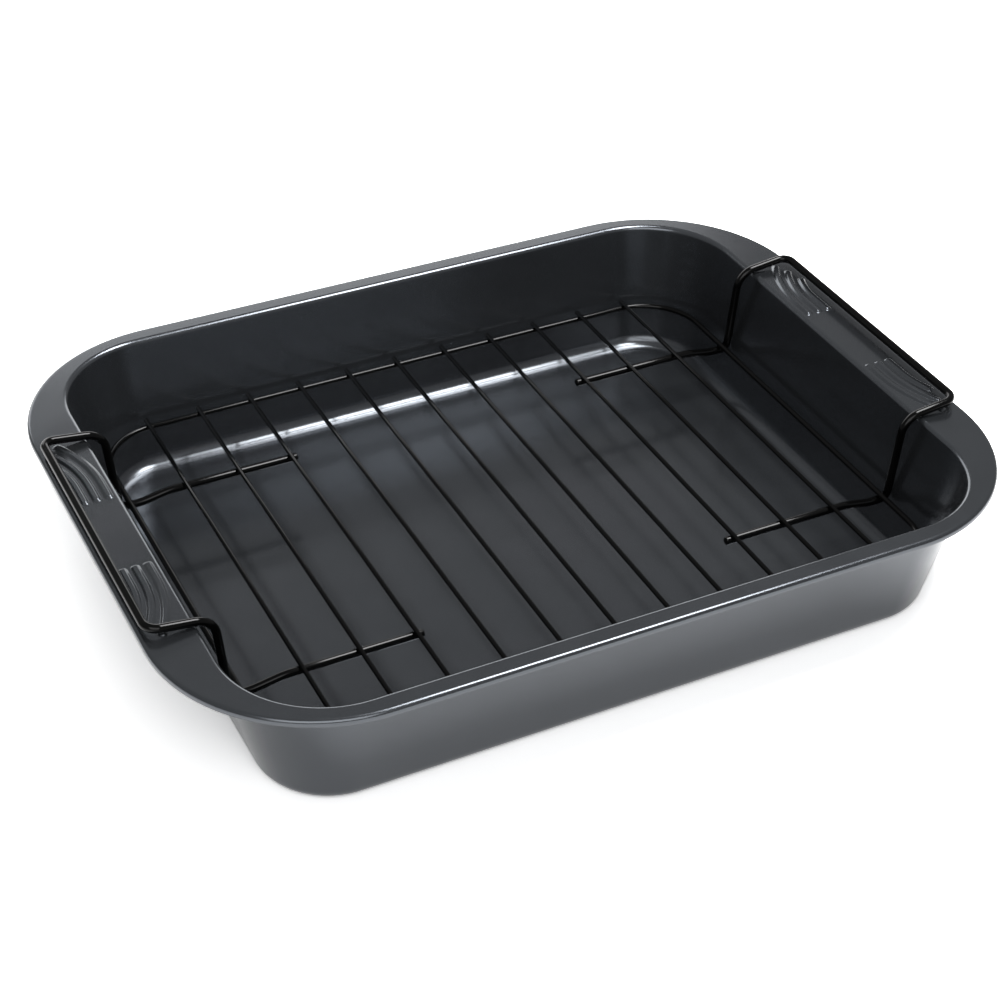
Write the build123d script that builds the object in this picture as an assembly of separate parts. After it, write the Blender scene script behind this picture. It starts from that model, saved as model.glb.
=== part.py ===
"""Roasting pan with a wire rack. Millimetres, +Z up, origin on the table below the middle of the pan."""
from build123d import *
from math import asin, cos, degrees, radians, tan
import os

os.makedirs("parts", exist_ok=True)

# Pan: outside sizes and the sheet that it is pressed from
pan_length = 430.0
pan_width = 330.0
pan_height = 70.0
sheet = 0.8

# Pan: walls, measured on their outside
handle_width = 24.7
side_rim_width = 10.0
wall_lean = 12.6
opening_corner = 51.0

# Pan: bends, all on the inside of the bend, and the edge that is turned down
floor_bend = 8.5
lip_bend = 1.8
edge_bend = 1.2
edge_drop = 3.4
handle_corner = 82.0

# Grip ribs pressed up out of each handle, in two groups that bow outward to the corners
rib_height = 1.1
rib_slope = 45.0
rib_end_round_share = 0.33
rib_gap = 1.0
rib_lip_gap = 0.5
rib_edge_gap = 4.2
rib_start = 26.5
rib_straight = 14.0
rib_reach = 53.0
rib_reach_shares = (1.0, 0.86, 0.67)
rib_bow_radius = 74.0
rib_bow_step = 10.0

# Rack: wire diameters, and how deep a weld sinks one wire into the next
ring_wire = 3.0
cross_wire = 2.3
grip_wire = 3.8
weld_sink = 0.2

# Rack: ring and cross wires
ring_height = 28.0
ring_side_gap = 7.5
ring_corner = 32.0
cross_wire_count = 11
cross_end_gap = 30.0
cross_overhang = 2.5

# Rack: grip wires, from the welded tip to the bow over the handle
grip_spread = 157.0
grip_held_count = 3
grip_tip_overhang = 4.0
grip_tip_chamfer = 0.5
grip_joggle_gap = 6.5
grip_joggle_run = 9.0
grip_joggle_bend = 10.0
grip_foot_bend = 5.0
grip_wall_gap = 1.0
grip_leg_lean = 5.3
grip_shoulder_bend = 11.0
grip_arm_rise = 9.0
grip_corner_bend = 6.0
grip_run_inset = 3.5

# Gap between the grip wires and the lips that they hang on
seat_gap = 0.3


def lean_shift(height):
    """How far the walls lean outward over a height."""
    return height * tan(radians(wall_lean))


def bend_length(radius, turn):
    """Distance from the corner of a bend to where its arc starts."""
    return radius * tan(radians(turn) / 2)


# Walls and lips, worked out from the sizes above
wall_across = sheet / cos(radians(wall_lean))
opening_half_length = pan_length / 2 - handle_width
opening_half_width = pan_width / 2 - side_rim_width
lip_edge = opening_half_length - wall_across + bend_length(lip_bend + sheet, 90 - wall_lean)

# The ribs share the flat of the handle between its lip and the bend of its edge
rib_count = len(rib_reach_shares)
handle_flat = pan_length / 2 - edge_bend - sheet - lip_edge
rib_width = (handle_flat - rib_lip_gap - rib_edge_gap - (rib_count - 1) * rib_gap) / rib_count

# Heights of the rack's wires, each seated on its neighbour
cross_height = ring_height + (ring_wire + cross_wire) / 2 - weld_sink
grip_tip_height = cross_height - (cross_wire + grip_wire) / 2 + weld_sink
grip_foot_height = ring_height - (ring_wire + grip_wire) / 2 + weld_sink

# The ring lies in the foot bends of the grip wires, and these stand beside the end walls
grip_foot_centre = grip_foot_height + grip_foot_bend
grip_leg = opening_half_length - lean_shift(pan_height - grip_foot_centre) - wall_across - grip_wall_gap - grip_wire / 2
grip_foot = grip_leg - grip_foot_bend * tan(radians(grip_leg_lean))
ring_half_length = grip_foot - bend_length(grip_foot_bend, 90 - grip_leg_lean)
ring_wall_half = opening_half_width - lean_shift(pan_height - ring_height) - wall_across
ring_half_width = ring_wall_half - ring_side_gap - ring_wire / 2
cross_pitch = 2 * (ring_half_length - cross_end_gap) / (cross_wire_count - 1)


def opening_outline(inset):
    """Rounded rectangle of the opening, measured on the outside of the walls and drawn in by the inset."""
    length = 2 * (opening_half_length - inset)
    width = 2 * (opening_half_width - inset)
    return Plane.XY.offset(pan_height) * RectangleRounded(length, width, opening_corner - inset)


def tub(floor, inset, bend):
    """Solid tub with leaning walls and a rounded bottom edge."""
    body = extrude(opening_outline(inset), floor - pan_height, taper=wall_lean)
    return fillet(body.edges().group_by(Axis.Z)[0], bend)


def rim_block(inset, top, bend):
    """Block of the rim's outline, from the turned-down edge up to a height, with its top edge rounded."""
    outline = RectangleRounded(pan_length - 2 * inset, pan_width - 2 * inset, handle_corner - inset)
    bottom = pan_height - edge_drop
    block = extrude(Plane.XY.offset(bottom) * outline, top - bottom)
    return fillet(block.edges().group_by(Axis.Z)[-1], bend)


def opening_edges(pan, height):
    """Edges of the pan at a height that run beside its opening."""
    opening = opening_outline(0).wires()[0]
    level = pan.edges().filter_by_position(Axis.Z, height - sheet / 4, height + sheet / 4)
    return [edge for edge in level if opening.distance_to(edge @ 0.5) < side_rim_width / 2]


def rib_outline(index, inset):
    """Outline of one rib on the right rear handle, drawn in by the inset: straight, then bowed outward."""
    half = rib_width / 2 - inset
    x = lip_edge + rib_lip_gap + rib_width / 2 + index * (rib_width + rib_gap)
    start = rib_start + inset
    turn = rib_start + rib_straight
    end = rib_start + rib_reach * rib_reach_shares[index] - inset
    radius = rib_bow_radius - index * rib_bow_step
    bow = degrees(asin((end - turn) / radius))
    inner = JernArc((x - half, turn), (0, 1), radius + half, -bow)
    outer = JernArc((x + half, turn), (0, 1), radius - half, -bow)
    sides = [Line((x - half, start), (x - half, turn)), inner, outer, Line((x + half, turn), (x + half, start))]
    ends = [Line(inner @ 1, outer @ 1), Line((x + half, start), (x - half, start))]
    face = make_face(Curve() + sides + ends)
    corners = [corner for corner in face.vertices() if abs(corner.Y - turn) > rib_straight / 2]
    return fillet(corners, rib_width * rib_end_round_share - inset)


def rib_solid(index, level, inset):
    """One rib with sloping sides, standing on a level, with its root in the sheet below that."""
    root = Plane.XY.offset(level - sheet / 2)
    rib = extrude(root * rib_outline(index, inset), sheet / 2 + rib_height, dir=(0, 0, 1))
    top = rib.faces().sort_by(Axis.Z)[-1]
    return chamfer(top.edges(), rib_height / tan(radians(rib_slope)), angle=rib_slope, reference=top)


def ribs(level, inset):
    """All ribs on a level: three to a group, two groups to a handle."""
    solids = []
    for index in range(rib_count):
        right_rear = rib_solid(index, level, inset)
        right_front = mirror(right_rear, Plane.XZ)
        solids += [right_rear, right_front, mirror(right_rear, Plane.YZ), mirror(right_front, Plane.YZ)]
    return solids


def make_pan():
    """Pressed pan: a tub, a rim with its edge turned down, and handles with grip ribs."""
    underside = pan_height - sheet
    rim = rim_block(0, pan_height, edge_bend + sheet) - rim_block(sheet, underside, edge_bend)
    pan = tub(0, 0, floor_bend + sheet) + rim - tub(sheet, wall_across, floor_bend)
    pan = fillet(opening_edges(pan, pan_height), lip_bend + sheet)
    pan = fillet(opening_edges(pan, underside), lip_bend)
    pan += ribs(pan_height, 0)
    return pan - ribs(underside, bend_length(sheet, 90 - rib_slope))


def wire_along(path, diameter):
    """Round wire along a path of straight runs and bends."""
    section = Plane(origin=path @ 0, z_dir=path % 0) * Circle(diameter / 2)
    return sweep(section, path)


def make_ring():
    """Closed ring wire, bent to a rounded rectangle."""
    outline = RectangleRounded(2 * ring_half_length, 2 * ring_half_width, ring_corner)
    return wire_along((Plane.XY.offset(ring_height) * outline).wires()[0], ring_wire)


def make_cross_wire(index):
    """Straight wire that lies across the ring and passes it a little at both ends."""
    x = (index - (cross_wire_count - 1) / 2) * cross_pitch
    length = 2 * (ring_half_width + ring_wire / 2 + cross_overhang)
    return Pos(x, 0, cross_height) * Rot(X=90) * Cylinder(cross_wire / 2, length)


def make_right_grip():
    """Grip wire: welded tips, joggles under the ring, legs up the wall, and a bow over the handle."""
    leg_slope = tan(radians(grip_leg_lean))
    arm_slope = tan(radians(grip_arm_rise))
    lip_round = lip_bend + sheet
    seat = pan_height - lip_round + (lip_round + seat_gap + grip_wire / 2) / cos(radians(grip_arm_rise))
    leg_start = grip_foot - grip_foot_height * leg_slope
    shoulder_height = (seat + (leg_start - lip_edge) * arm_slope) / (1 - leg_slope * arm_slope)
    shoulder = leg_start + shoulder_height * leg_slope
    run = pan_length / 2 - grip_run_inset
    run_height = seat + (run - lip_edge) * arm_slope
    tip = ((cross_wire_count - 1) / 2 - grip_held_count + 1) * cross_pitch - grip_tip_overhang
    joggle = ring_half_length - grip_joggle_gap
    side = [
        (tip, grip_tip_height),
        (joggle - grip_joggle_run, grip_tip_height),
        (joggle, grip_foot_height),
        (grip_foot, grip_foot_height),
        (shoulder, shoulder_height),
        (run, run_height),
    ]
    bends = [grip_joggle_bend, grip_joggle_bend, grip_foot_bend, grip_shoulder_bend, grip_corner_bend]
    rear = [(x, grip_spread / 2, z) for x, z in side]
    front = [(x, -grip_spread / 2, z) for x, z in side]
    path = FilletPolyline(*rear, *reversed(front), radius=bends + bends[::-1])
    grip = wire_along(path, grip_wire)
    ends = grip.faces().group_by(Axis.X)[0].edges()
    return chamfer(ends, grip_tip_chamfer)


def main():
    """Write every piece to its own file."""
    pieces = {"pan": make_pan(), "rack_ring": make_ring()}
    for index in range(cross_wire_count):
        pieces[f"cross_wire_{index + 1:02d}"] = make_cross_wire(index)
    right_grip = make_right_grip()
    pieces["grip_wire_right"] = right_grip
    pieces["grip_wire_left"] = mirror(right_grip, Plane.YZ)
    for name, piece in pieces.items():
        export_step(piece, f"parts/{name}.step")


if __name__ == "__main__":
    main()
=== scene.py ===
"""Roasting pan with a lift-out wire rack. Metres, +Z up, origin on the table below the middle of the pan."""
import math
import bmesh
import bpy
from mathutils import Matrix, Vector


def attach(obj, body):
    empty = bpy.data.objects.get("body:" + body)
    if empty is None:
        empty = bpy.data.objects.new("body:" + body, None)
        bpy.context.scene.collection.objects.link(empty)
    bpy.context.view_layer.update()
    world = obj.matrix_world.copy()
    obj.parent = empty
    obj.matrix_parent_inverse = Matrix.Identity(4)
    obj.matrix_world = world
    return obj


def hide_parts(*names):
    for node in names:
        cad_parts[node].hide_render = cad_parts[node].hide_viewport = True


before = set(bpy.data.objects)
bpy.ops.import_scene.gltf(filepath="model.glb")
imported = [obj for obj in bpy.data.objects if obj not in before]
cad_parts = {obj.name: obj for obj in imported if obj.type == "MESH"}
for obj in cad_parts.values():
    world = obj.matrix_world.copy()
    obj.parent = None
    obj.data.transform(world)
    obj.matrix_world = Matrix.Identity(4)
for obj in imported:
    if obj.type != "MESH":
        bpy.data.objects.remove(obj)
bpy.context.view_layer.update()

# Pan: outside sizes and the sheet that it is pressed from
PAN_LENGTH = 0.430
PAN_WIDTH = 0.330
PAN_HEIGHT = 0.070
SHEET = 0.0008

# Pan: walls and rims, then its bends, on the inside of the bend, and the edge that is turned down
HANDLE_WIDTH = 0.0247
SIDE_RIM_WIDTH = 0.010
WALL_LEAN = math.radians(12.6)
OPENING_CORNER = 0.051
HANDLE_CORNER = 0.082
FLOOR_BEND = 0.0085
LIP_BEND = 0.0018
EDGE_BEND = 0.0012
EDGE_DROP = 0.0034
CUT_EDGE_ROUND = 0.00022

# Grip ribs pressed up out of the handles, in groups that bow outward to the corners
RIB_GAP = 0.001
RIB_LIP_GAP = 0.0005
RIB_EDGE_GAP = 0.0042
RIB_START = 0.0265
RIB_STRAIGHT = 0.014
RIB_REACH = 0.053
RIB_REACH_SHARES = (1.0, 0.86, 0.67)
RIB_BOW_RADIUS = 0.074
RIB_BOW_STEP = 0.010
RIB_END_ROUND = 0.0019

# Flank of a rib: how far each step goes in, and how far up
RIB_STEPS = ((0.0001, 0), (0.00015, 0.00003), (0.00015, 0.00009), (0.0002, 0.00016), (0.00035, 0.0003),
             (0.00035, 0.00028), (0.0002, 0.00014), (0.00015, 0.00005), (0.0001, 0))

# Rack: ring and cross wires
RING_WIRE = 0.003
CROSS_WIRE = 0.0023
WELD_SINK = 0.0002
RING_HEIGHT = 0.028
RING_SIDE_GAP = 0.0075
RING_CORNER = 0.032
RING_SEAM = 0.02
CROSS_COUNT = 11
CROSS_END_GAP = 0.030
CROSS_OVERHANG = 0.0025
CROSS_END_ROUND = 0.0003

# Rack: grip wires, a little thicker and flatter than in the solids, as the photograph shows them
GRIP_WIRE = 0.0042
GRIP_SPREAD = 0.157
GRIP_HELD_COUNT = 3
GRIP_TIP_OVERHANG = 0.004
GRIP_JOGGLE_GAP = 0.0065
GRIP_JOGGLE_RUN = 0.015
GRIP_JOGGLE_BEND = 0.035
GRIP_FOOT_BEND = 0.005
GRIP_WALL_GAP = 0.0008
GRIP_LEG_LEAN = math.radians(5.3)
GRIP_SHOULDER_BEND = 0.011
GRIP_ARM_RISE = math.radians(7.0)
GRIP_CORNER_BEND = 0.006
GRIP_RUN_INSET = 0.0035
GRIP_END_ROUND = 0.0006

# Gap between the grip wires and the lips that they hang on
SEAT_GAP = 0.0003

# How finely the pan is divided
CORNER_STEPS = 28
LENGTH_STEPS = 14
WIDTH_STEPS = 10
FLOOR_BEND_STEPS = 12
LIP_BEND_STEPS = 12
EDGE_BEND_STEPS = 10
CUT_EDGE_STEPS = 2
RIB_BOW_STEPS = 9
RIB_END_STEPS = 4

# Further outlines beside the bends, which keep the shading of walls and flats even
FLOOR_LOOPS = (0.020, 0.004, 0.0005)
WALL_LOOP_SHARES = (0.02, 0.25, 0.5, 0.75, 0.98)
LIP_LOOP = 0.0002
EDGE_LOOP = 0.0004
DROP_LOOP = 0.0002

# How finely the wires are divided
WIRE_SIDES = 20
GRIP_SIDES = 24
WIRE_END_STEPS = 3
LEAST_BEND_STEPS = 3
DEGREES_PER_STEP = 9

# What finds a place on a mesh, and the angles up to which edges are shaded smooth
TOUCH = 1e-5
SAME_POINT = 1e-6
LONG_EDGE = 0.06
RIM_START = 0.001
HANDLE_FLAT_HALF = 0.002
RIB_FIELD_HALF = 0.09
CUT_EDGE_TURN = math.radians(60)
PAN_SMOOTH = math.radians(24)
WIRE_SMOOTH = math.radians(35)
SELECT_MODES = {"verts": "VERT", "edges": "EDGE", "faces": "FACE"}

# Finishes: shades, gloss and its spread, orange peel, and the clear layer on top
PAN_FINISH = {
    "deep": (0.084, 0.091, 0.100),
    "light": (0.090, 0.097, 0.107),
    "roughness": 0.21,
    "spread": 0.015,
    "peel_size": 0.0014,
    "peel_depth": 0.0000006,
    "metal": 0.86,
    "shine": 0.5,
    "coat": 0.15,
    "coat_roughness": 0.10,
}
WIRE_FINISH = {
    "deep": (0.0008, 0.0008, 0.0008),
    "light": (0.0014, 0.0014, 0.0014),
    "roughness": 0.10,
    "spread": 0.02,
    "peel_size": 0.0008,
    "peel_depth": 0.0000006,
    "metal": 0.0,
    "shine": 0.18,
    "coat": 0.0,
    "coat_roughness": 0.05,
}

# Patterns of both finishes: clouds of shade, uneven gloss, orange peel and rubbed specks
SHADE_NOISE = {"Scale": 18.0, "Detail": 4.0, "Roughness": 0.6}
GLOSS_NOISE = {"Scale": 60.0, "Detail": 3.0}
NOISE_SPAN = (0.3, 0.7)
PEEL_DETAIL = 2.0
WEAR_NOISE = {"Scale": 210.0, "Detail": 6.0, "Roughness": 0.7}
WEAR_RANGE = {"From_Min": 0.64, "From_Max": 0.76, "To_Min": 0.0, "To_Max": 0.35}
WEAR_LIGHTENING = 1.5
WEAR_DULLING = 0.1

# Sockets of a mix of two colours, and the distance between nodes in the editor
MIX_FIRST = 6
MIX_SECOND = 7
MIX_RESULT = 2
NODE_SPACING = 200

# Studio: the floor's tones as lit, as mirrored and as seen, and the light from all round
FLOOR_SIZE = 4
FLOOR_ROUGHNESS = 0.9
FLOOR_TONE = 0.80
FLOOR_MIRRORED_TONE = 1.35
FLOOR_SEEN_TONE = 2.0
SURROUNDING_TONE = 0.30

# Camera: worked out from the photograph's vanishing points
CAMERA_LENS = 76.506
CAMERA_SENSOR = 36
CAMERA_PLACE = (-0.39155, -0.77107, 0.66155)
CAMERA_RIGHT = Vector((0.89711033, -0.44163817, 0.01219755))
CAMERA_UP = Vector((0.252773, 0.535716, 0.805676))
CAMERA_AHEAD = Vector((0.36235173, 0.71969712, -0.59223077))

# Walls, lips and ribs, worked out from the sizes above
OPENING = PAN_LENGTH / 2 - HANDLE_WIDTH
WALL_ACROSS = SHEET / math.cos(WALL_LEAN)
LIP_ROUND = LIP_BEND + SHEET
LIP_X = OPENING - WALL_ACROSS + LIP_ROUND * math.tan((math.pi / 2 - WALL_LEAN) / 2)
RIB_COUNT = len(RIB_REACH_SHARES)
HANDLE_FLAT = PAN_LENGTH / 2 - EDGE_BEND - SHEET - LIP_X
RIB_WIDTH = (HANDLE_FLAT - RIB_LIP_GAP - RIB_EDGE_GAP - (RIB_COUNT - 1) * RIB_GAP) / RIB_COUNT

# Heights and reaches of the rack's wires, worked out in the same way
CROSS_HEIGHT = RING_HEIGHT + (RING_WIRE + CROSS_WIRE) / 2 - WELD_SINK
TIP_HEIGHT = CROSS_HEIGHT - (CROSS_WIRE + GRIP_WIRE) / 2 + WELD_SINK
FOOT_HEIGHT = RING_HEIGHT - (RING_WIRE + GRIP_WIRE) / 2 + WELD_SINK
FOOT_CENTRE = FOOT_HEIGHT + GRIP_FOOT_BEND
WALL_FACE_X = OPENING - (PAN_HEIGHT - FOOT_CENTRE) * math.tan(WALL_LEAN) - WALL_ACROSS
LEG_X = WALL_FACE_X - GRIP_WALL_GAP - GRIP_WIRE / 2
FOOT_X = LEG_X - GRIP_FOOT_BEND * math.tan(GRIP_LEG_LEAN)
RING_X = FOOT_X - GRIP_FOOT_BEND * math.tan((math.pi / 2 - GRIP_LEG_LEAN) / 2)
RING_Y = (PAN_WIDTH / 2 - SIDE_RIM_WIDTH - (PAN_HEIGHT - RING_HEIGHT) * math.tan(WALL_LEAN) - WALL_ACROSS
          - RING_SIDE_GAP - RING_WIRE / 2)
CROSS_PITCH = 2 * (RING_X - CROSS_END_GAP) / (CROSS_COUNT - 1)


def start_edit(piece):
    """Open one piece for editing, with nothing else chosen."""
    bpy.ops.object.select_all(action="DESELECT")
    piece.select_set(True)
    bpy.context.view_layer.objects.active = piece
    bpy.ops.object.mode_set(mode="EDIT")


def end_edit():
    """Close the piece that is open for editing."""
    bpy.ops.object.mode_set(mode="OBJECT")


def choose(piece, kind, test):
    """Choose the vertices, edges or faces of the open piece that pass a test of their place."""
    bpy.ops.mesh.select_all(action="DESELECT")
    bpy.ops.mesh.select_mode(type=SELECT_MODES[kind])
    mesh = bmesh.from_edit_mesh(piece.data)
    for item in getattr(mesh, kind):
        if test(item):
            item.select_set(True)
    mesh.select_flush_mode()
    bmesh.update_edit_mesh(piece.data)


def join(pieces):
    """Join pieces into the first of them."""
    bpy.ops.object.select_all(action="DESELECT")
    for piece in pieces:
        piece.select_set(True)
    bpy.context.view_layer.objects.active = pieces[0]
    bpy.ops.object.join()
    return pieces[0]


def smooth(piece, angle):
    """Shade a piece smooth, but for its sharper edges."""
    bpy.ops.object.select_all(action="DESELECT")
    bpy.context.view_layer.objects.active = piece
    piece.select_set(True)
    bpy.ops.object.shade_smooth_by_angle(angle=angle)


def open_piece(name):
    """An empty piece, open for editing."""
    bpy.ops.object.select_all(action="DESELECT")
    bpy.ops.mesh.primitive_plane_add(location=(0, 0, 0))
    piece = bpy.context.object
    piece.name = name
    piece.data.name = name
    bpy.ops.object.mode_set(mode="EDIT")
    bpy.ops.mesh.select_all(action="SELECT")
    bpy.ops.mesh.delete(type="VERT")
    return piece


def first_outline(piece, half_length, half_width, corner, height):
    """The innermost outline of the floor: a filled rounded rectangle with its straight sides divided."""
    bpy.ops.mesh.select_mode(type="VERT")
    bpy.ops.mesh.primitive_plane_add(size=2, location=(0, 0, height))
    bpy.ops.transform.resize(value=(half_length, half_width, 1), center_override=(0, 0, height))
    bpy.ops.mesh.bevel(offset=corner, offset_type="OFFSET", segments=CORNER_STEPS, affect="VERTICES")
    for along, cuts in ((0, LENGTH_STEPS), (1, WIDTH_STEPS)):
        choose(piece, "edges", lambda edge: abs((edge.verts[1].co - edge.verts[0].co)[along]) > LONG_EDGE)
        bpy.ops.mesh.subdivide(number_cuts=cuts)


def draw_out(piece, old, new):
    """Extrude the open edge of the sheet and lay the new edge on the next outline.

    An outline is its half length, half width, corner radius and height.
    """
    choose(piece, "edges", lambda edge: edge.is_boundary)
    bpy.ops.mesh.extrude_region_move(TRANSFORM_OT_translate={"value": (0, 0, new[3] - old[3])})
    mesh = bmesh.from_edit_mesh(piece.data)
    for vertex in (vertex for vertex in mesh.verts if vertex.select):
        place = vertex.co
        sides = [math.copysign(1, place.x), math.copysign(1, place.y)]
        out = [abs(place[i]) - (old[i] - old[2]) for i in (0, 1)]
        for i in (0, 1):
            if out[i] <= 0:
                place[i] *= (new[i] - new[2]) / (old[i] - old[2])
            else:
                place[i] = sides[i] * (new[i] - new[2] + out[i] * new[2] / old[2])
    bmesh.update_edit_mesh(piece.data)


def arc(centre, radius, start, end, steps):
    """Points of a bend in the wall's section: distance out from the middle, and height."""
    turns = [start + (end - start) * step / steps for step in range(steps + 1)]
    return [(centre[0] + radius * math.cos(turn), centre[1] + radius * math.sin(turn)) for turn in turns]


def pan_section():
    """Section of the sheet's upper face at the right end wall, from the floor out to the turned-down edge."""
    wall = OPENING - WALL_ACROSS
    floor_height = SHEET + FLOOR_BEND
    floor_x = wall - (PAN_HEIGHT - floor_height) * math.tan(WALL_LEAN) - FLOOR_BEND / math.cos(WALL_LEAN)
    edge_round = EDGE_BEND + SHEET
    edge_x = PAN_LENGTH / 2 - edge_round
    section = [(floor_x - loop, SHEET) for loop in FLOOR_LOOPS]
    section += arc((floor_x, floor_height), FLOOR_BEND, -math.pi / 2, -WALL_LEAN, FLOOR_BEND_STEPS)
    lip_centre = (LIP_X, PAN_HEIGHT - LIP_ROUND)
    lip = arc(lip_centre, LIP_ROUND, math.pi - WALL_LEAN, math.pi / 2, LIP_BEND_STEPS)
    foot, head = section[-1], lip[0]
    for share in WALL_LOOP_SHARES:
        section.append(tuple(foot[i] + (head[i] - foot[i]) * share for i in (0, 1)))
    section += lip
    section += [(LIP_X + LIP_LOOP, PAN_HEIGHT), (edge_x - EDGE_LOOP, PAN_HEIGHT)]
    section += arc((edge_x, PAN_HEIGHT - edge_round), edge_round, math.pi / 2, 0, EDGE_BEND_STEPS)
    edge_foot = PAN_HEIGHT - edge_round - DROP_LOOP
    section += [(PAN_LENGTH / 2, edge_foot), (PAN_LENGTH / 2, PAN_HEIGHT - EDGE_DROP)]
    return section


def pan_outlines():
    """Outlines of the sheet's upper face, which follow the opening's corners first and then the rim's."""
    outlines = []
    for x, height in pan_section():
        inset = OPENING - x
        outline = (x, PAN_WIDTH / 2 - SIDE_RIM_WIDTH - inset, OPENING_CORNER - inset, height)
        if x > LIP_X + RIM_START:
            inset = PAN_LENGTH / 2 - x
            outline = (x, PAN_WIDTH / 2 - inset, HANDLE_CORNER - inset, height)
        outlines.append(outline)
    return outlines


def make_rib(index):
    """One rib: a strip that runs straight and then bows outward, raised step by step, with rounded corners."""
    piece = open_piece(f"rib_{index}")
    x = LIP_X + RIB_LIP_GAP + RIB_WIDTH / 2 + index * (RIB_WIDTH + RIB_GAP)
    turn = RIB_START + RIB_STRAIGHT
    end = RIB_START + RIB_REACH * RIB_REACH_SHARES[index]
    radius = RIB_BOW_RADIUS - index * RIB_BOW_STEP
    bow = math.asin((end - turn) / radius)
    centre = (x, (RIB_START + turn) / 2, PAN_HEIGHT)
    bpy.ops.mesh.primitive_plane_add(size=1, location=centre)
    bpy.ops.transform.resize(value=(RIB_WIDTH, turn - RIB_START, 1), center_override=centre)
    choose(piece, "edges", lambda edge: all(abs(v.co.y - turn) < TOUCH for v in edge.verts))
    bpy.ops.mesh.spin(steps=RIB_BOW_STEPS, angle=bow, center=(x + radius, turn, PAN_HEIGHT), axis=(0, 0, 1))
    choose(piece, "verts", lambda v: len(v.link_edges) == 2)
    bpy.ops.mesh.bevel(offset=RIB_END_ROUND, offset_type="OFFSET", segments=RIB_END_STEPS, affect="VERTICES")
    bpy.ops.mesh.select_all(action="SELECT")
    for thickness, depth in RIB_STEPS:
        bpy.ops.mesh.inset(thickness=thickness, depth=depth, use_even_offset=True)
    end_edit()
    return piece


def press_ribs(piece):
    """Open the flat of each handle, stand the twelve ribs in it, and close the sheet between them."""
    middle = LIP_X + HANDLE_FLAT / 2

    def on_handle(face):
        centre = face.calc_center_median()
        return abs(abs(centre.x) - middle) < HANDLE_FLAT_HALF and abs(centre.y) < RIB_FIELD_HALF

    choose(piece, "faces", on_handle)
    bpy.ops.mesh.delete(type="FACE")
    end_edit()
    ribs = join([make_rib(index) for index in range(RIB_COUNT)])
    start_edit(ribs)
    for factors in ((1, -1, 1), (-1, 1, 1)):
        bpy.ops.mesh.select_all(action="SELECT")
        bpy.ops.mesh.duplicate()
        bpy.ops.transform.resize(value=factors, center_override=(0, 0, 0))
    end_edit()
    join([piece, ribs])
    start_edit(piece)
    for side in (-1, 1):
        choose(piece, "edges", lambda edge: edge.is_boundary and all(
            abs(v.co.z - PAN_HEIGHT) < TOUCH and v.co.x * side > 0 for v in edge.verts))
        bpy.ops.mesh.fill(use_beauty=True)


def make_pan():
    """The pressed pan: floor, leaning walls, lip, ribbed rim and turned-down edge of one sheet."""
    piece = open_piece("pan_shell")
    outlines = pan_outlines()
    first_outline(piece, *outlines[0])
    for old, new in zip(outlines, outlines[1:]):
        draw_out(piece, old, new)
    press_ribs(piece)
    bpy.ops.mesh.select_all(action="SELECT")
    bpy.ops.mesh.normals_make_consistent(inside=False)
    mesh = bmesh.from_edit_mesh(piece.data)
    floor = max(mesh.faces, key=lambda face: face.calc_area())
    if floor.normal.z < 0:
        bpy.ops.mesh.flip_normals()
    end_edit()
    solid = piece.modifiers.new("sheet", "SOLIDIFY")
    solid.thickness = SHEET
    solid.offset = -1
    solid.use_even_offset = True
    solid.use_quality_normals = True
    bpy.ops.object.modifier_apply(modifier=solid.name)
    round_cut_edge(piece)
    smooth(piece, PAN_SMOOTH)
    return piece


def round_cut_edge(piece):
    """Take the sharpness off the cut edge of the sheet, at the bottom of the turned-down rim."""
    start_edit(piece)
    rim = PAN_HEIGHT - EDGE_DROP

    def cut_edge(edge):
        flat = all(abs(vertex.co.z - rim) < TOUCH for vertex in edge.verts)
        return flat and abs(edge.calc_face_angle(0)) > CUT_EDGE_TURN

    choose(piece, "edges", cut_edge)
    bpy.ops.mesh.bevel(offset=CUT_EDGE_ROUND, offset_type="OFFSET", segments=CUT_EDGE_STEPS, affect="EDGES")
    end_edit()


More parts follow.
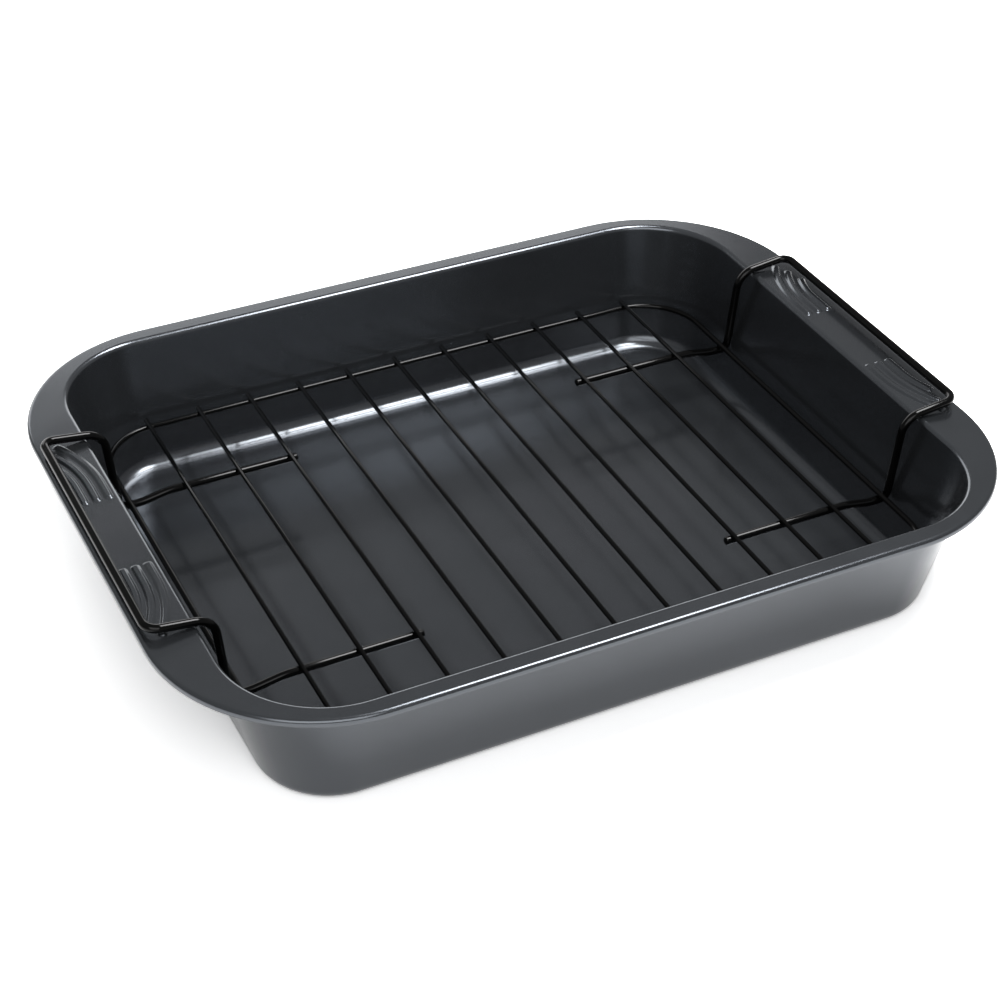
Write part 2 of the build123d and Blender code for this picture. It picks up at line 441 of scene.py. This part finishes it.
def bend_wire(name, points, bends, diameter, sides, end_round=None):
    """A round wire: its section is drawn out along each straight run and spun round each bend.

    Without a rounding for its ends the wire is closed, and its last point is its first.
    """
    points = [Vector(point) for point in points]
    direction = (points[1] - points[0]).normalized()
    bpy.ops.object.select_all(action="DESELECT")
    bpy.ops.mesh.primitive_circle_add(vertices=sides, radius=diameter / 2, fill_type="NOTHING",
                                      location=points[0], rotation=direction.to_track_quat("Z", "Y").to_euler())
    piece = bpy.context.object
    piece.name = name
    piece.data.name = name
    bpy.ops.object.transform_apply(location=True, rotation=True, scale=True)
    bpy.ops.object.mode_set(mode="EDIT")
    bpy.ops.mesh.select_all(action="SELECT")
    place = points[0]
    for index, bend in enumerate(bends):
        corner, after = points[index + 1], points[index + 2]
        came = (corner - place).normalized()
        goes = (after - corner).normalized()
        turn = came.angle(goes)
        run = bend * math.tan(turn / 2)
        bpy.ops.mesh.extrude_region_move(TRANSFORM_OT_translate={"value": corner - came * run - place})
        axis = came.cross(goes).normalized()
        centre = corner - came * run + axis.cross(came) * bend
        steps = max(LEAST_BEND_STEPS, math.ceil(math.degrees(turn) / DEGREES_PER_STEP))
        bpy.ops.mesh.spin(steps=steps, angle=turn, center=centre, axis=-axis)
        place = corner + goes * run
    bpy.ops.mesh.extrude_region_move(TRANSFORM_OT_translate={"value": points[-1] - place})
    bpy.ops.mesh.select_all(action="SELECT")
    bpy.ops.mesh.remove_doubles(threshold=SAME_POINT)
    if end_round:
        for end in (points[0], points[-1]):
            choose(piece, "edges", lambda edge: edge.is_boundary and all(
                (v.co - end).length < diameter for v in edge.verts))
            bpy.ops.mesh.edge_face_add()
            bpy.ops.mesh.bevel(offset=end_round, offset_type="OFFSET", segments=WIRE_END_STEPS, affect="EDGES")
    bpy.ops.mesh.select_all(action="SELECT")
    bpy.ops.mesh.normals_make_consistent(inside=False)
    end_edit()
    smooth(piece, WIRE_SMOOTH)
    return piece


def copy_piece(piece, name, move=(0, 0, 0), factors=(1, 1, 1)):
    """A copy with its own mesh, moved or mirrored in the mesh."""
    copy = piece.copy()
    copy.data = piece.data.copy()
    copy.name = name
    copy.data.name = name
    bpy.context.collection.objects.link(copy)
    start_edit(copy)
    bpy.ops.mesh.select_all(action="SELECT")
    if factors != (1, 1, 1):
        bpy.ops.transform.resize(value=factors, center_override=(0, 0, 0))
        bpy.ops.mesh.normals_make_consistent(inside=False)
    bpy.ops.transform.translate(value=move)
    end_edit()
    return copy


def make_ring():
    """The closed ring wire, bent to a rounded rectangle from a seam in its front side."""
    seam = (RING_SEAM, -RING_Y)
    corners = [(RING_X, -RING_Y), (RING_X, RING_Y), (-RING_X, RING_Y), (-RING_X, -RING_Y)]
    points = [(x, y, RING_HEIGHT) for x, y in (seam, *corners, seam)]
    return bend_wire("ring_wire", points, [RING_CORNER] * len(corners), RING_WIRE, WIRE_SIDES)


def make_grip():
    """The right grip wire, from its rear tip under the ring, up the wall, over the handle and back."""
    leg_slope = math.tan(GRIP_LEG_LEAN)
    arm_slope = math.tan(GRIP_ARM_RISE)
    seat = PAN_HEIGHT - LIP_ROUND + (LIP_ROUND + SEAT_GAP + GRIP_WIRE / 2) / math.cos(GRIP_ARM_RISE)
    leg_start = FOOT_X - FOOT_HEIGHT * leg_slope
    shoulder_height = (seat + (leg_start - LIP_X) * arm_slope) / (1 - leg_slope * arm_slope)
    run = PAN_LENGTH / 2 - GRIP_RUN_INSET
    tip = ((CROSS_COUNT - 1) / 2 - GRIP_HELD_COUNT + 1) * CROSS_PITCH - GRIP_TIP_OVERHANG
    joggle = RING_X - GRIP_JOGGLE_GAP
    side = [
        (tip, TIP_HEIGHT),
        (joggle - GRIP_JOGGLE_RUN, TIP_HEIGHT),
        (joggle, FOOT_HEIGHT),
        (FOOT_X, FOOT_HEIGHT),
        (leg_start + shoulder_height * leg_slope, shoulder_height),
        (run, seat + (run - LIP_X) * arm_slope),
    ]
    bends = [GRIP_JOGGLE_BEND, GRIP_JOGGLE_BEND, GRIP_FOOT_BEND, GRIP_SHOULDER_BEND, GRIP_CORNER_BEND]
    rear = [(x, GRIP_SPREAD / 2, z) for x, z in side]
    front = [(x, -GRIP_SPREAD / 2, z) for x, z in side]
    points = rear + front[::-1]
    return bend_wire("grip_right", points, bends + bends[::-1], GRIP_WIRE, GRIP_SIDES, GRIP_END_ROUND)


def make_cross_wire():
    """A straight wire that lies across the middle of the ring and passes it a little at both ends."""
    reach = RING_Y + RING_WIRE / 2 + CROSS_OVERHANG
    ends = [(0, -reach, CROSS_HEIGHT), (0, reach, CROSS_HEIGHT)]
    return bend_wire("cross_wire_a", ends, [], CROSS_WIRE, WIRE_SIDES, CROSS_END_ROUND)


def node(tree, kind, **values):
    """A node with values for its inputs or settings. An underscore stands for the space in an input's name."""
    made = tree.nodes.new(kind)
    made.location.x = NODE_SPACING * len(tree.nodes)
    for name, value in values.items():
        key = name.replace("_", " ")
        if key in made.inputs:
            made.inputs[key].default_value = value
        else:
            setattr(made, name, value)
    return made


def noise(tree, place, **values):
    """A pattern of noise that stays with the object."""
    made = node(tree, "ShaderNodeTexNoise", **values)
    tree.links.new(place.outputs["Object"], made.inputs["Vector"])
    return made.outputs["Fac"]


def mix_shades(tree, share, first, second):
    """Mix two shades, of which each is a colour or comes from another node."""
    mix = node(tree, "ShaderNodeMix", data_type="RGBA")
    tree.links.new(share, mix.inputs["Factor"])
    for socket, shade in ((mix.inputs[MIX_FIRST], first), (mix.inputs[MIX_SECOND], second)):
        if isinstance(shade, bpy.types.NodeSocket):
            tree.links.new(shade, socket)
        else:
            socket.default_value = (*shade, 1)
    return mix.outputs[MIX_RESULT]


def grey(tone):
    """A colour without a hue."""
    return (tone, tone, tone)


def coating(name, finish):
    """Baked coating: two close shades in clouds, uneven gloss, fine orange peel, and faint rubbed specks."""
    material = bpy.data.materials.new(name)
    material.use_nodes = True
    tree = material.node_tree
    link = tree.links.new
    shader = tree.nodes["Principled BSDF"]
    shader.inputs["Metallic"].default_value = finish["metal"]
    shader.inputs["Specular IOR Level"].default_value = finish["shine"]
    shader.inputs["Coat Weight"].default_value = finish["coat"]
    shader.inputs["Coat Roughness"].default_value = finish["coat_roughness"]
    place = node(tree, "ShaderNodeTexCoord")
    shades = node(tree, "ShaderNodeValToRGB")
    stops = shades.color_ramp.elements
    for stop, position, shade in zip(stops, NOISE_SPAN, (finish["deep"], finish["light"])):
        stop.position = position
        stop.color = (*shade, 1)
    link(noise(tree, place, **SHADE_NOISE), shades.inputs["Fac"])
    worn = node(tree, "ShaderNodeMapRange", **WEAR_RANGE)
    link(noise(tree, place, **WEAR_NOISE), worn.inputs["Value"])
    rubbed = [WEAR_LIGHTENING * channel for channel in finish["light"]]
    base = mix_shades(tree, worn.outputs["Result"], shades.outputs["Color"], rubbed)
    link(base, shader.inputs["Base Color"])
    gloss = node(tree, "ShaderNodeMapRange", From_Min=NOISE_SPAN[0], From_Max=NOISE_SPAN[1],
                 To_Min=finish["roughness"] - finish["spread"], To_Max=finish["roughness"] + finish["spread"])
    link(noise(tree, place, **GLOSS_NOISE), gloss.inputs["Value"])
    dulled = node(tree, "ShaderNodeMath", operation="MULTIPLY_ADD")
    link(worn.outputs["Result"], dulled.inputs[0])
    dulled.inputs[1].default_value = WEAR_DULLING
    link(gloss.outputs["Result"], dulled.inputs[2])
    link(dulled.outputs["Value"], shader.inputs["Roughness"])
    bump = node(tree, "ShaderNodeBump", Strength=1.0, Distance=finish["peel_depth"])
    link(noise(tree, place, Scale=1 / finish["peel_size"], Detail=PEEL_DETAIL), bump.inputs["Height"])
    link(bump.outputs["Normal"], shader.inputs["Normal"])
    return material


def dress(piece, material, body, slot, *nodes):
    """Give a piece its finish, hang it on its body and let it stand for its solids."""
    piece.data.materials.clear()
    piece.data.materials.append(material)
    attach(piece, body)
    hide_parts(*nodes)


def make_floor():
    """Pale floor: one tone as it is lit, a lighter one in the pan's reflections, and white to the camera."""
    bpy.ops.object.select_all(action="DESELECT")
    bpy.ops.mesh.primitive_plane_add(size=FLOOR_SIZE, location=(0, 0, 0))
    floor = bpy.context.object
    floor.name = "studio_floor"
    material = bpy.data.materials.new("white_floor")
    material.use_nodes = True
    tree = material.node_tree
    shader = tree.nodes["Principled BSDF"]
    shader.inputs["Roughness"].default_value = FLOOR_ROUGHNESS
    shader.inputs["Specular IOR Level"].default_value = 0.0
    ray = node(tree, "ShaderNodeLightPath")
    mirrored = mix_shades(tree, ray.outputs["Is Glossy Ray"], grey(FLOOR_TONE), grey(FLOOR_MIRRORED_TONE))
    seen = mix_shades(tree, ray.outputs["Is Camera Ray"], mirrored, grey(FLOOR_SEEN_TONE))
    tree.links.new(seen, shader.inputs["Base Color"])
    floor.data.materials.append(material)


def make_surroundings():
    """Even grey light from all round, which the camera sees as white."""
    world = bpy.data.worlds.new("studio")
    bpy.context.scene.world = world
    world.use_nodes = True
    tree = world.node_tree
    ray = node(tree, "ShaderNodeLightPath")
    sky = mix_shades(tree, ray.outputs["Is Camera Ray"], grey(SURROUNDING_TONE), grey(1))
    tree.links.new(sky, tree.nodes["Background"].inputs["Color"])


def soft_lamp(name, place, aim, width, depth, power):
    """A softbox at a place, turned to a point."""
    lamp = bpy.data.lights.new(name, "AREA")
    lamp.shape = "RECTANGLE"
    lamp.size = width
    lamp.size_y = depth
    lamp.energy = power
    stand = bpy.data.objects.new(name, lamp)
    stand.location = place
    stand.rotation_euler = (Vector(aim) - Vector(place)).to_track_quat("-Z", "Y").to_euler()
    bpy.context.collection.objects.link(stand)


def make_camera():
    """The camera at the photograph's place and angle."""
    camera_data = bpy.data.cameras.new("camera")
    camera_data.lens = CAMERA_LENS
    camera_data.sensor_width = CAMERA_SENSOR
    camera = bpy.data.objects.new("camera", camera_data)
    turned = Matrix((CAMERA_RIGHT, CAMERA_UP, -CAMERA_AHEAD)).transposed().to_4x4()
    camera.matrix_world = Matrix.Translation(CAMERA_PLACE) @ turned
    bpy.context.collection.objects.link(camera)
    bpy.context.scene.camera = camera


pan_coating = coating("pan_coating", PAN_FINISH)
wire_coating = coating("wire_coating", WIRE_FINISH)

dress(make_pan(), pan_coating, "pan", "pan_coating", "pan")
dress(make_ring(), wire_coating, "rack", "wire_coating", "rack_ring")
grip_right = make_grip()
grip_left = copy_piece(grip_right, "grip_left", factors=(-1, 1, 1))
dress(grip_left, wire_coating, "rack", "wire_coating", "grip_wire_left")
dress(grip_right, wire_coating, "rack", "wire_coating", "grip_wire_right")
wire = make_cross_wire()
for number in range(CROSS_COUNT):
    x = (number - (CROSS_COUNT - 1) / 2) * CROSS_PITCH
    copy = copy_piece(wire, f"rack_wire_{number + 1:02d}", move=(x, 0, 0))
    dress(copy, wire_coating, "rack", "wire_coating", f"cross_wire_{number + 1:02d}")
bpy.data.objects.remove(wire)

make_floor()
make_surroundings()
soft_lamp("overhead_softbox", place=(0.47, 0.0, 1.3), aim=(0, 0, 0), width=0.8, depth=0.38, power=20)
soft_lamp("front_fill", place=(-0.9, -1.9, 1.7), aim=(0, 0, 0), width=2.4, depth=2.0, power=40)
soft_lamp("rear_panel", place=(0.16, 1.3, 0.45), aim=(0.16, 0, 0.1), width=1.5, depth=0.60, power=7.3)
make_camera()
bpy.context.scene.view_settings.view_transform = "Standard"
